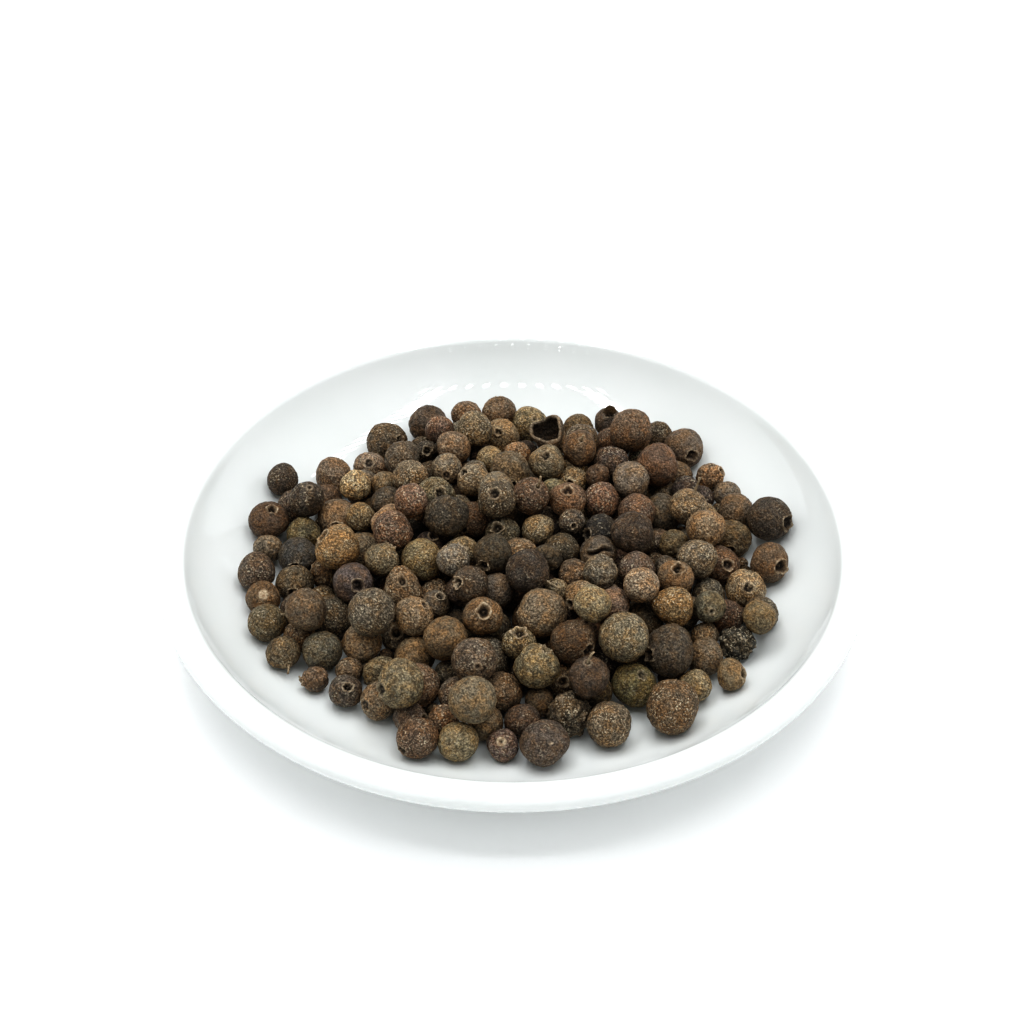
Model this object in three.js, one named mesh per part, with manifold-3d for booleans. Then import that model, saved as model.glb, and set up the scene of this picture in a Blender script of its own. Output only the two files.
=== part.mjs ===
// A shallow white porcelain dish with a heap of whole dried allspice berries in it.
// Millimetres, +Z up. The origin is the middle of the foot ring's resting face.
// The dish is one turned solid. The heap is one solid too: a low core with the berries that show fused
// to it, each at its true size, lying where it came to rest on the dish and on its neighbours.

import * as THREE from 'three';
import { ConvexHull } from 'three/addons/math/ConvexHull.js';
import { mergeVertices } from 'three/addons/utils/BufferGeometryUtils.js';
import Module from 'manifold-3d';

// ---- Dish ----
const DISH_RADIUS = 60;
const FLOOR_HEIGHT = 5; // top of the dish's flat floor
const FLOOR_THICKNESS = 3;
const WALL_THICKNESS = 2.5;
const WALL_SLOPE = THREE.MathUtils.degToRad( 65 ); // steepest slope of the inside, just under the lip
const OUTER_SLOPE = THREE.MathUtils.degToRad( 50 ); // of the outside, where it turns out to the lip
const LIP_HALF_WIDTH = 2.55; // the lip is a rolled bead with an oval section
const LIP_HALF_HEIGHT = 1.75;
const LIP_RADIUS = DISH_RADIUS - LIP_HALF_WIDTH;
const LIP_HEIGHT = 15.25; // of the bead's middle
const LIP_UNDERSIDE = THREE.MathUtils.degToRad( - 75 ); // where the outside meets the bead's section
const FOOT_RADIUS = 31;
const FOOT_WIDTH = 3;
const FOOT_TAPER = 0.8; // the ring widens by this on each side towards the dish
const DISH_SIDES = 48;
const CURVE_STEPS = 3;

// ---- Berries ----
const HEAP_SEED = 10;
const MEAN_DIAMETER = 6.3;
const DIAMETER_SPREAD = 1.7;
const LEAST_DIAMETER = 4.3;
const GREATEST_DIAMETER = 9;
const FLOOR_BERRIES = 166; // lie on the dish side by side
const GAP_BERRIES = 16; // small ones that found the gaps between those
const GAP_DIAMETER = 4.3; // of the smallest of them, and up to a millimetre more
const UPPER_BERRIES = 70; // lie on top, besides the standing-out ones
const RAGGEDNESS = 0.03; // share of the outline's reach by which an edge berry may miss it

// From the dish's middle to the middles of the edge berries, every 15 degrees from +X round by +Y.
const OUTLINE_RADII = [
	45, 46.5, 43.5, 44, 46.5, 39.5, 41.5, 42, 40, 37.5, 44.5, 43.5,
	44, 43, 43, 41, 38.5, 41, 41, 39, 41.5, 42.5, 42.5, 43.5,
];

// Berries of the edge that shape the outline: x, y and diameter. Their places are exact.
const EDGE_BERRIES = [
	[ - 14.9, - 40.6, 6.7 ], [ - 8.5, - 40.6, 6.5 ], [ - 1.5, - 40.6, 5.1 ], [ 5, - 41.6, 7.8 ],
	[ 15.1, - 37.4, 7.4 ], [ 25.2, - 34.5, 8.9 ], [ 8.9, - 34.6, 7 ], [ 35.4, - 26.4, 5.3 ],
	[ 36.9, - 18.7, 5.9 ], [ 41.7, - 12.3, 5.8 ], [ 44.2, - 0.5, 7.2 ], [ 46.2, 9.5, 7.9 ],
	[ - 44, - 2.8, 6.8 ], [ - 42.2, - 8.6, 6.1 ], [ - 37.7, - 21.4, 5.7 ], [ - 43.2, 10.5, 7 ],
	[ - 42.4, 21.6, 5.8 ], [ - 23.2, 33, 7.8 ],
];

// Berries that stand out on top: x, y and diameter. Each is laid there and rolls into the nearest hollow.
const TOP_BERRIES = [
	[ - 28.5, - 1, 7.8 ], [ 17, - 24, 8.3 ], [ - 5, - 28.5, 7.6 ], [ - 6, - 37.5, 7.4 ],
	[ - 10.5, - 24.5, 7.6 ], [ - 17, - 29.5, 7.9 ], [ - 5.5, - 19, 6.7 ], [ - 29.5, - 11.5, 6.7 ],
	[ - 34.5, - 16, 7.3 ], [ 15.5, - 5, 6.4 ], [ 15, 10.5, 6.6 ], [ 19, 9.5, 6.6 ],
	[ - 21, - 9.5, 6.9 ], [ - 15.5, - 16.5, 6.8 ], [ 11, - 32, 6.7 ], [ 30, 11.5, 6.9 ],
	[ 15, 2, 6.4 ], [ 7.5, 0.5, 6.4 ], [ - 1.5, 19.5, 7.4 ], [ 33, - 14, 5.6 ],
	[ 27, - 14.5, 6.6 ], [ 24.5, 17.5, 8 ], [ 5, 33, 6.2 ],
];

// ---- Heap's solid ----
const EDGE_SHARE = 0.92; // berries from this share of the way out to the outline are the heap's edge
const EDGE_SINK = 1.5; // the core's skin passes this far below the middles of the edge berries
const INNER_SINK = 2.5; // and this far below the middles of the inner berries it hangs on
const HANGER_SPACING = 6; // least distance between those, seen from above
const PEG_RADIUS = 0.8; // pegs join the berries that lie clear of the core to it
const PEG_SIDES = 3;
const PEG_DEPTH = 0.8; // how far a berry and the core must reach into one another to need no peg
const COVER_SHARE = 0.8; // a berry is covered if a higher one reaches this share of its radius over its middle
const SHOWS_ABOVE = 1.6; // a covered berry is left out if less than this stands above the core
const FEW_SIDED = 1.08; // makes up for what the flat faces cut off a ball
const CLEARANCE = 0.3; // between the heap and the dish
const LEAST_EDGE = 0.01; // shorter edges of the fused heap are closed up
const TURN_SEED = 4; // for the way each few-sided ball is turned

const wasm = await Module();
wasm.setup();

// ---- Derived places ----

// Lengths that decide where berries come to rest are whole millionths of a millimetre.
function rounded( length ) {

	return Math.floor( length * 1e6 + 0.5 ) / 1e6;

}

// The point of the lip's section where the inside falls at a given slope.
function lipPoint( slope ) {

	const across = LIP_HALF_WIDTH * Math.sin( slope );
	const up = LIP_HALF_HEIGHT * Math.cos( slope );
	const reach = Math.hypot( across, up );
	return {
		radius: LIP_RADIUS - LIP_HALF_WIDTH * across / reach,
		height: LIP_HEIGHT + LIP_HALF_HEIGHT * up / reach,
	};

}

const wallTop = lipPoint( WALL_SLOPE );
const WALL_ARC = rounded( ( wallTop.height - FLOOR_HEIGHT ) / ( 1 - Math.cos( WALL_SLOPE ) ) );
const FLAT_RADIUS = rounded( wallTop.radius - WALL_ARC * Math.sin( WALL_SLOPE ) );
const ARC_HEIGHT = FLOOR_HEIGHT + WALL_ARC; // of the wall arc's centre, over the edge of the flat floor

const outline = OUTLINE_RADII.map( ( radius, index ) => {

	const angle = 2 * Math.PI * index / OUTLINE_RADII.length;
	return { x: rounded( radius * Math.cos( angle ) ), y: rounded( radius * Math.sin( angle ) ) };

} );

// ---- Solids ----

function solidOf( geometry ) {

	const bare = geometry.clone();
	bare.deleteAttribute( 'normal' );
	bare.deleteAttribute( 'uv' );
	const merged = mergeVertices( bare, 1e-4 );
	return new wasm.Manifold( new wasm.Mesh( {
		numProp: 3,
		vertProperties: new Float32Array( merged.attributes.position.array ),
		triVerts: new Uint32Array( merged.index.array ),
	} ) );

}

// Closes up each edge shorter than `least` whose ends have just two neighbours in common.
function closeShortEdges( positions, triangles, least ) {

	const corner = ( i ) => new THREE.Vector3().fromArray( positions, 3 * i );
	const around = ( i ) => new Set( triangles.filter( ( triangle ) => triangle.includes( i ) ).flat() );
	for ( const triangle of [ ...triangles ] ) {

		for ( const [ keep, drop ] of [ [ 0, 1 ], [ 1, 2 ], [ 2, 0 ] ].map( ( side ) => side.map( ( i ) => triangle[ i ] ) ) ) {

			if ( keep === drop || corner( keep ).distanceTo( corner( drop ) ) > least ) continue;
			const shared = around( keep ).intersection( around( drop ) );
			if ( shared.size !== 4 ) continue; // the two ends themselves and two neighbours
			for ( const other of triangles ) if ( other.includes( drop ) ) other[ other.indexOf( drop ) ] = keep;
			triangles = triangles.filter( ( other ) => new Set( other ).size === 3 );

		}

	}

	return triangles;

}

function geometryOf( solid, leastEdge ) {

	const mesh = solid.getMesh();
	const corners = [ ...mesh.triVerts ];
	const triangles = [];
	while ( corners.length ) triangles.push( corners.splice( - 3 ) );
	const geometry = new THREE.BufferGeometry();
	geometry.setAttribute( 'position', new THREE.BufferAttribute( mesh.vertProperties, 3 ) );
	geometry.setIndex( closeShortEdges( mesh.vertProperties, triangles, leastEdge ).flat() );
	geometry.computeVertexNormals();
	return geometry;

}

// Turns a profile of (radius, height) points about the Z axis.
function turned( points, sides ) {

	const geometry = new THREE.LatheGeometry( points, sides );
	geometry.rotateX( Math.PI / 2 );
	return geometry;

}

// ---- Dish ----

function dishGeometry() {

	const outerArc = WALL_ARC + WALL_THICKNESS;
	const lipStart = Math.PI - Math.atan2(
		( wallTop.height - LIP_HEIGHT ) / LIP_HALF_HEIGHT,
		( LIP_RADIUS - wallTop.radius ) / LIP_HALF_WIDTH
	);
	const outerRadius = FLAT_RADIUS + outerArc * Math.sin( OUTER_SLOPE );
	const outerHeight = ARC_HEIGHT - outerArc * Math.cos( OUTER_SLOPE );
	const bendHeight = LIP_HEIGHT + LIP_HALF_HEIGHT * Math.sin( LIP_UNDERSIDE );
	const bendRadius = outerRadius + ( bendHeight - outerHeight ) / Math.tan( OUTER_SLOPE );
	const undersideHeight = ARC_HEIGHT - outerArc;
	const recessHeight = FLOOR_HEIGHT - FLOOR_THICKNESS;
	const footOut = FOOT_RADIUS + FOOT_WIDTH / 2;
	const footIn = FOOT_RADIUS - FOOT_WIDTH / 2;
	const down = - Math.PI / 2;

	const profile = new THREE.Path();
	profile.moveTo( 0, FLOOR_HEIGHT );
	profile.lineTo( FLAT_RADIUS, FLOOR_HEIGHT );
	profile.absarc( FLAT_RADIUS, ARC_HEIGHT, WALL_ARC, down, down + WALL_SLOPE, false );
	profile.absellipse( LIP_RADIUS, LIP_HEIGHT, LIP_HALF_WIDTH, LIP_HALF_HEIGHT, lipStart, LIP_UNDERSIDE, true );
	profile.quadraticCurveTo( bendRadius, bendHeight, outerRadius, outerHeight );
	profile.absarc( FLAT_RADIUS, ARC_HEIGHT, outerArc, down + OUTER_SLOPE, down, true );
	profile.lineTo( footOut + FOOT_TAPER, undersideHeight );
	profile.lineTo( footOut, 0 );
	profile.lineTo( footIn, 0 );
	profile.lineTo( footIn - FOOT_TAPER, recessHeight );
	profile.lineTo( 0, recessHeight );
	return turned( profile.getPoints( CURVE_STEPS ).reverse(), DISH_SIDES );

}

// ---- Where the berries lie ----

let randomState = HEAP_SEED;

function random() {

	randomState = ( randomState * 1664525 + 1013904223 ) % 4294967296;
	return randomState / 4294967296;

}

function randomDiameter() {

	const bell = random() + random() + random() - 1.5;
	const diameter = MEAN_DIAMETER + DIAMETER_SPREAD * bell;
	return Math.min( GREATEST_DIAMETER, Math.max( LEAST_DIAMETER, diameter ) );

}

function gapDiameter() {

	return GAP_DIAMETER + random();

}

function cross( a, b ) {

	return a.x * b.y - a.y * b.x;

}

// How far out a place lies, as a share of the way from the dish's middle to the outline.
function shareOut( place ) {

	for ( let index = 0; index < outline.length; index ++ ) {

		const from = outline[ index ];
		const to = outline[ ( index + 1 ) % outline.length ];
		if ( cross( from, place ) < 0 || cross( to, place ) >= 0 ) continue;
		return ( place.x * ( to.y - from.y ) - place.y * ( to.x - from.x ) ) / cross( from, to );

	}

	return 0;

}

// A random place whose share of the way out is at most `reach`.
function randomPlace( reach ) {

	while ( true ) {

		const x = ( random() * 2 - 1 ) * DISH_RADIUS;
		const y = ( random() * 2 - 1 ) * DISH_RADIUS;
		if ( shareOut( { x, y } ) <= reach ) return { x, y };

	}

}

// Draws a ball back if it strays past its own share of the outline's reach.
function fenceIn( ball ) {

	const share = shareOut( ball );
	if ( share <= ball.limit ) return;
	ball.x *= ball.limit / share;
	ball.y *= ball.limit / share;

}

// Moves a ball out of the dish's floor and curved wall.
function keepInDish( ball ) {

	const out = Math.sqrt( ball.x * ball.x + ball.y * ball.y );
	if ( out <= FLAT_RADIUS ) {

		ball.z = Math.max( ball.z, FLOOR_HEIGHT + ball.r );
		return;

	}

	const across = out - FLAT_RADIUS;
	const drop = ARC_HEIGHT - ball.z;
	const away = Math.sqrt( across * across + drop * drop );
	const reach = WALL_ARC - ball.r;
	if ( drop <= 0 || away <= reach ) return;
	const scale = ( FLAT_RADIUS + across * reach / away ) / out;
	ball.x *= scale;
	ball.y *= scale;
	ball.z = ARC_HEIGHT - drop * reach / away;

}

// Pushes two balls apart until they touch, with `room` times their size. Ball a takes `share` of the move.
function pushApart( a, b, share, room = 1 ) {

	const reach = ( a.r + b.r ) * room;
	const dx = a.x - b.x;
	const dy = a.y - b.y;
	const dz = a.z - b.z;
	const square = dx * dx + dy * dy + dz * dz;
	if ( square >= reach * reach ) return;
	const push = reach / Math.sqrt( square ) - 1;
	if ( a.fixed ) share = 0;
	else if ( b.fixed ) share = 1;
	if ( ! a.fixed ) {

		a.x += dx * push * share;
		a.y += dy * push * share;
		a.z += dz * push * share;

	}

	if ( ! b.fixed ) {

		b.x -= dx * push * ( 1 - share );
		b.y -= dy * push * ( 1 - share );
		b.z -= dz * push * ( 1 - share );

	}

}

// Lets a ball down on the others and rolls it, in small steps, until they hold it.
function settle( ball, others ) {

	const fall = 0.25;
	const leastFall = 0.0005;
	const mostSteps = 600;
	const stepsPerLook = 12;
	const passes = 5;

	ball.z = FLOOR_HEIGHT + ball.r;
	for ( const other of others ) {

		const reach = ball.r + other.r;
		const dx = ball.x - other.x;
		const dy = ball.y - other.y;
		const square = reach * reach - dx * dx - dy * dy;
		if ( square > 0 ) ball.z = Math.max( ball.z, other.z + Math.sqrt( square ) );

	}

	keepInDish( ball );
	let near = [];
	for ( let step = 0; step < mostSteps; step ++ ) {

		if ( step % stepsPerLook === 0 ) {

			near = others.filter( ( other ) => {

				const dx = ball.x - other.x;
				const dy = ball.y - other.y;
				const reach = ball.r + stepsPerLook * fall + other.r;
				return dx * dx + dy * dy < reach * reach;

			} );

		}

		const before = ball.z;
		ball.z -= fall;
		for ( let pass = 0; pass < passes; pass ++ ) {

			for ( const other of near ) pushApart( ball, other, 1 );
			keepInDish( ball );

		}

		if ( before - ball.z < leastFall ) break;

	}

}

// The berries on the dish: spread out side by side within the outline, then lowered on to the dish.
function layFloor( berries ) {

	for ( const [ x, y, diameter ] of EDGE_BERRIES ) {

		berries.push( { x, y, z: 0, r: diameter / 2, fixed: true, limit: 1 } );

	}

	while ( berries.length < FLOOR_BERRIES ) {

		const place = randomPlace( 1 );
		const r = randomDiameter() / 2;
		const limit = 1 + RAGGEDNESS * ( random() * 2 - 1 );
		berries.push( { ...place, z: 0, r, fixed: false, limit } );

	}

	const spreadings = [ { room: 1.08, rounds: 40 }, { room: 1.02, rounds: 30 }, { room: 0.99, rounds: 20 } ];
	for ( const { room, rounds } of spreadings ) {

		for ( let round = 0; round < rounds; round ++ ) {

			berries.forEach( ( berry, index ) => {

				for ( let other = 0; other < index; other ++ ) pushApart( berry, berries[ other ], 0.5, room );
				if ( ! berry.fixed ) fenceIn( berry );

			} );

		}

	}

	for ( const berry of berries ) {

		berry.z = FLOOR_HEIGHT + berry.r;
		keepInDish( berry );

	}

}

function layTops( berries ) {

	return TOP_BERRIES.map( ( [ x, y, diameter ] ) => {

		const berry = { x, y, z: 0, r: diameter / 2, fixed: false, limit: 1 };
		settle( berry, berries );
		berries.push( berry );
		return berry;

	} );

}

function liesOver( place, r, tops ) {

	const share = 0.85;
	return tops.some( ( top ) => {

		const dx = place.x - top.x;
		const dy = place.y - top.y;
		const reach = share * ( top.r + r );
		return dx * dx + dy * dy < reach * reach;

	} );

}

// Drops loose berries clear of the standing-out ones. Each keeps the lowest of a few tries.
function dropLoose( berries, tops, { count, size, tries, firstReach, lastReach } ) {

	for ( let index = 0; index < count; index ++ ) {

		const r = size() / 2;
		const reach = firstReach + ( lastReach - firstReach ) * index / count;
		let best = null;
		let tried = 0;
		while ( tried < tries ) {

			const place = randomPlace( reach );
			if ( liesOver( place, r, tops ) ) continue;
			const berry = { ...place, z: 0, r, fixed: false, limit: 1 };
			settle( berry, berries );
			if ( ! best || berry.z < best.z ) best = berry;
			tried ++;

		}

		berries.push( best );

	}

}

function touchingPairs( berries ) {

	const margin = 1.5;
	const pairs = [];
	berries.forEach( ( a, index ) => {

		for ( let other = 0; other < index; other ++ ) {

			const b = berries[ other ];
			const dx = a.x - b.x;
			const dy = a.y - b.y;
			const dz = a.z - b.z;
			const reach = a.r + b.r + margin;
			if ( dx * dx + dy * dy + dz * dz < reach * reach ) pairs.push( [ a, b ] );

		}

	} );
	return pairs;

}

// Shakes the whole heap down a little. Of two that touch, the upper one gives way more.
function shakeDown( berries ) {

	const rounds = 60;
	const roundsPerLook = 8;
	const passes = 3;
	const fall = 0.12;
	const upperShare = 0.75;
	let pairs = [];
	for ( let round = 0; round < rounds; round ++ ) {

		if ( round % roundsPerLook === 0 ) {

			berries.sort( ( a, b ) => a.z - b.z || a.x - b.x );
			pairs = touchingPairs( berries );

		}

		for ( const berry of berries ) if ( ! berry.fixed ) berry.z -= fall;
		for ( let pass = 0; pass < passes; pass ++ ) {

			for ( const [ a, b ] of pairs ) pushApart( a, b, a.z > b.z ? upperShare : 1 - upperShare );
			for ( const berry of berries ) {

				if ( berry.fixed ) continue;
				fenceIn( berry );
				keepInDish( berry );

			}

		}

	}

}

function pileUp() {

	const berries = [];
	layFloor( berries );
	dropLoose( berries, [], {
		count: GAP_BERRIES, size: gapDiameter, tries: 12, firstReach: 0.95, lastReach: 0.95,
	} );
	const tops = layTops( berries );
	dropLoose( berries, tops, {
		count: UPPER_BERRIES, size: randomDiameter, tries: 5, firstReach: 0.88, lastReach: 0.5,
	} );
	shakeDown( berries );
	return berries;

}

const berries = pileUp();

// ---- Heap's solid ----

function isCovered( berry ) {

	return berries.some( ( other ) => {

		const away = Math.hypot( berry.x - other.x, berry.y - other.y );
		return other.z > berry.z && away < COVER_SHARE * other.r;

	} );

}

// Joins places into triangles that leave no place inside another's circle: they are the underside of
// the hull of the places, once each is raised by the square of its distance from the middle.
function joinedPlaces( places ) {

	const raised = places.map( ( { x, y } ) => new THREE.Vector3( x, y, x * x + y * y ) );
	const triangles = [];
	for ( const face of new ConvexHull().setFromPoints( raised ).faces ) {

		if ( face.normal.z >= 0 ) continue;
		const corners = [ 2, 1, 0 ].map( ( edge ) => raised.indexOf( face.getEdge( edge ).head().point ) );
		triangles.push( corners );

	}

	return triangles;

}

// The core's skin: flat faces hung on the edge berries and, from the highest down, on the inner ones.
function coreSkin() {

	const corners = [];
	function hangOn( shown, sink, spacing ) {

		for ( const { x, y, z } of shown ) {

			const isClear = corners.every( ( corner ) => Math.hypot( corner.x - x, corner.y - y ) > spacing );
			if ( isClear ) corners.push( new THREE.Vector3( x, y, z - sink ) );

		}

	}

	const shown = berries.filter( ( berry ) => ! isCovered( berry ) ).sort( ( a, b ) => b.z - a.z );
	hangOn( shown.filter( ( berry ) => shareOut( berry ) > EDGE_SHARE ), EDGE_SINK, LEAST_DIAMETER );
	hangOn( shown, INNER_SINK, HANGER_SPACING );
	return { corners, triangles: joinedPlaces( corners ) };

}

// Height of the skin over a place, or the floor's height outside it.
function skinHeight( { corners, triangles }, x, y ) {

	for ( const [ a, b, c ] of triangles ) {

		const facet = new THREE.Triangle( corners[ a ], corners[ b ], corners[ c ] );
		const flat = new THREE.Triangle( ...[ a, b, c ].map( ( i ) => corners[ i ].clone().setZ( 0 ) ) );
		const place = new THREE.Vector3( x, y, 0 );
		if ( ! flat.containsPoint( place ) ) continue;
		const shares = flat.getBarycoord( place, new THREE.Vector3() );
		return shares.x * facet.a.z + shares.y * facet.b.z + shares.z * facet.c.z;

	}

	return FLOOR_HEIGHT;

}

// Everything from the skin down past the dish's floor, which the room inside the dish trims.
function coreGeometry( { corners, triangles } ) {

	const count = corners.length;
	const positions = [];
	for ( const corner of corners ) positions.push( corner.x, corner.y, corner.z );
	for ( const corner of corners ) positions.push( corner.x, corner.y, 0 );

	const sides = new Set();
	for ( const [ a, b, c ] of triangles ) for ( const side of [ [ a, b ], [ b, c ], [ c, a ] ] ) sides.add( side.join() );

	const index = [];
	for ( const [ a, b, c ] of triangles ) {

		index.push( a, b, c, a + count, c + count, b + count );
		for ( const [ from, to ] of [ [ a, b ], [ b, c ], [ c, a ] ] ) {

			if ( sides.has( [ to, from ].join() ) ) continue;
			index.push( from, from + count, to + count, from, to + count, to );

		}

	}

	const geometry = new THREE.BufferGeometry();
	geometry.setAttribute( 'position', new THREE.Float32BufferAttribute( positions, 3 ) );
	geometry.setIndex( index );
	return geometry;

}

// The space inside the dish that the heap may fill.
function dishRoom() {

	const steps = 2 * CURVE_STEPS; // as many as the dish's wall has, so the gap is even
	const above = 3 * LIP_HEIGHT;
	const arc = WALL_ARC - CLEARANCE;
	const points = [ new THREE.Vector2( 0, FLOOR_HEIGHT + CLEARANCE ) ];
	for ( let step = 0; step <= steps; step ++ ) {

		const slope = WALL_SLOPE * step / steps;
		points.push( new THREE.Vector2(
			FLAT_RADIUS + arc * Math.sin( slope ),
			ARC_HEIGHT - arc * Math.cos( slope )
		) );

	}

	points.push( new THREE.Vector2( points.at( - 1 ).x, above ) );
	points.push( new THREE.Vector2( 0, above ) );
	return solidOf( turned( points, DISH_SIDES ) );

}

// A slim upright peg from a berry's middle down into the core.
function pegGeometry( berry, skinTop ) {

	const length = berry.z - skinTop + PEG_DEPTH;
	const peg = new THREE.CylinderGeometry( PEG_RADIUS, PEG_RADIUS, length, PEG_SIDES );
	peg.rotateX( Math.PI / 2 );
	peg.translate( berry.x, berry.y, berry.z - length / 2 );
	return peg;

}

function heapGeometry() {

	randomState = TURN_SEED;
	const skin = coreSkin();
	const solids = [ solidOf( coreGeometry( skin ) ) ];
	for ( const berry of berries ) {

		const turn = new THREE.Quaternion( random() - 0.5, random() - 0.5, random() - 0.5, random() - 0.5 );
		const skinTop = skinHeight( skin, berry.x, berry.y );
		if ( berry.z + berry.r < skinTop + SHOWS_ABOVE ) continue;
		const ball = new THREE.OctahedronGeometry( berry.r * FEW_SIDED, 1 );
		ball.applyQuaternion( turn.normalize() );
		ball.translate( berry.x, berry.y, berry.z );
		solids.push( solidOf( ball ) );
		if ( berry.z - berry.r > skinTop - PEG_DEPTH ) solids.push( solidOf( pegGeometry( berry, skinTop ) ) );

	}

	const heap = wasm.Manifold.union( solids ).intersect( dishRoom() ).asOriginal().simplify( LEAST_EDGE );
	const pieces = heap.decompose().sort( ( a, b ) => b.volume() - a.volume() );
	return geometryOf( pieces[ 0 ], LEAST_EDGE );

}

// ---- The part ----

const part = new THREE.Group();

const porcelain = new THREE.MeshStandardMaterial( { color: 0xf1f3f1, roughness: 0.12, metalness: 0 } );
const dish = new THREE.Mesh( dishGeometry(), porcelain );
dish.name = 'dish';
part.add( dish );

const driedBerry = new THREE.MeshStandardMaterial( { color: 0x4b3a2c, roughness: 0.85, metalness: 0 } );
const heap = new THREE.Mesh( heapGeometry(), driedBerry );
heap.name = 'allspice_heap';
part.add( heap );

export default part;
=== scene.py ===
"""A shallow white porcelain dish with a heap of dried allspice berries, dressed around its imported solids.

Heights and places are worked out in millimetres, as in the part's source, and written in metres.
"""
import math

import bpy
import numpy as np
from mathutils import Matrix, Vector


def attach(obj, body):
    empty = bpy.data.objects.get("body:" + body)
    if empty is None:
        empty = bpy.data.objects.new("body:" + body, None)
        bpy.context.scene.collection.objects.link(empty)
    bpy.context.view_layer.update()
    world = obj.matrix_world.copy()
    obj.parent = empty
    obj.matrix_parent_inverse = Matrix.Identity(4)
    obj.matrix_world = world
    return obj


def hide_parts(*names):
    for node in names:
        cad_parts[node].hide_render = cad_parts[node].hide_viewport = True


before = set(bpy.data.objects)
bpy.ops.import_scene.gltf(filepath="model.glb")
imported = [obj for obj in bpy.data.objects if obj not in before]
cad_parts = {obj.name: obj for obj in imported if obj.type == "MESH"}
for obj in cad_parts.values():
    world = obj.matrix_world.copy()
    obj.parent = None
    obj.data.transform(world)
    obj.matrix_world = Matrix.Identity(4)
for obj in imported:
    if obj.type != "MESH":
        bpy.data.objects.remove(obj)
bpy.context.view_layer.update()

METRES = 0.001

# ---- Dish, as in the part's source ----
DISH_RADIUS = 60
FLOOR_HEIGHT = 5
FLOOR_THICKNESS = 3
WALL_THICKNESS = 2.5
WALL_SLOPE = math.radians(65)
OUTER_SLOPE = math.radians(50)
LIP_HALF_WIDTH = 2.55
LIP_HALF_HEIGHT = 1.75
LIP_RADIUS = DISH_RADIUS - LIP_HALF_WIDTH
LIP_HEIGHT = 15.25
LIP_UNDERSIDE = math.radians(-75)
FOOT_RADIUS = 31
FOOT_WIDTH = 3
FOOT_TAPER = 0.8

# ---- Berries' places and sizes, as in the part's source ----
HEAP_SEED = 10
MEAN_DIAMETER = 6.3
DIAMETER_SPREAD = 1.7
LEAST_DIAMETER = 4.3
GREATEST_DIAMETER = 9
FLOOR_BERRIES = 166
GAP_BERRIES = 16
GAP_DIAMETER = 4.3
UPPER_BERRIES = 70
RAGGEDNESS = 0.03

# Small berries in the gaps under the rest. The part's source has a core there instead.
FILLER_SEED = 3
FILLER_TRIES = 6000
LEAST_FILLER = 1.2
GREATEST_FILLER = 2.4
FILLER_REACH = 0.93  # share of the way out to the outline
FILLER_PRESS = 0.45  # how far they may press into the others

LOOK_SEED = 500
SHAPE_SEED = 1000

# From the dish's middle to the middles of the edge berries, every 15 degrees from +X round by +Y.
OUTLINE_RADII = [
    45, 46.5, 43.5, 44, 46.5, 39.5, 41.5, 42, 40, 37.5, 44.5, 43.5,
    44, 43, 43, 41, 38.5, 41, 41, 39, 41.5, 42.5, 42.5, 43.5,
]

# ---- Camera ----
VIEW_ELEVATION = math.radians(41.016)
VIEW_DISTANCE = 350
VIEW_TARGET = (-0.1, 23.8, 0)
FOCAL_LENGTH = 66.8
SENSOR = 36


# ---- Looks of single berries ----

class Look:
    """How one berry looks. `turn` is where its crown points, seen from the front: (right, up).

    `shape` may set what is otherwise drawn by lot, or add a feature of this one berry:
    ring is the crown's radius and pear the thinning at the crown, as shares of the berry's radius.
    lumps and grain are the heights of broad and fine relief, and dents is a count.
    fleck is how sharp and many the skin's pale grains are, partly painted light, and spin the turn about the
    crown.
    peak is (right, up, amount) of an end drawn out, and spot is (right, up, radius) of a pale spot.
    stalk is the stalk's length, sag is (right, up) of its bend, and flap is a torn flap's length.
    """

    def __init__(self, kind="plain", turn=None, colour="brown", **shape):
        self.kind = kind
        self.turn = turn
        self.colour = colour
        self.shape = shape


# Edge berries: x, y, diameter and look. Their places are exact.
EDGE_BERRIES = [
    (-14.9, -40.6, 6.7, Look("scarred", (-0.7, -0.5), "reddish")),
    (-8.5, -40.6, 6.5, Look("plain", (0.3, -0.8), "olive")),
    (-1.5, -40.6, 5.1, Look("navel", (-0.1, 0.35), spot=(-0.1, 0.35, 1.0))),
    (5, -41.6, 7.8, Look("plain", (-0.4, 0.8), "dark", spot=(0.25, 0.1, 0.35), fleck=0.4)),
    (15.1, -37.4, 7.4, Look("plain", (0.2, 0.9))),
    (25.2, -34.5, 8.9, Look("plain", (-0.5, 0.8), "reddish")),
    (8.9, -34.6, 7, Look("crumbled", (0, 0.4), "dark", fleck=0.9)),
    (35.4, -26.4, 5.3, Look("crowned", (0.85, 0.1))),
    (36.9, -18.7, 5.9, Look("shrivelled", (0.3, 0.4), "slate", fleck=1.5)),
    (41.7, -12.3, 5.8, Look("plain", (0.6, 0.3), "olive")),
    (44.2, -0.5, 7.2, Look("crowned", (0.55, -0.2), "reddish")),
    (46.2, 9.5, 7.9, Look("crowned", (0.75, -0.2), "dark")),
    (-44, -2.8, 6.8, Look("plain", (-0.6, 0.6), "dark")),
    (-42.2, -8.6, 6.1, Look("plain", (0.1, 0.2), "rust", spot=(0.15, 0.3, 1.1))),
    (-37.7, -21.4, 5.7, Look("stalked", (0.4, -0.7), "olive")),
    (-43.2, 10.5, 7, Look("crowned", (0.25, 0.65), "reddish")),
    (-42.4, 21.6, 5.8, Look("plain", (-0.3, 0.3), "dark")),
    (-23.2, 33, 7.8, Look("wrinkled", (0.7, 0.1), "dark")),
]

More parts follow.
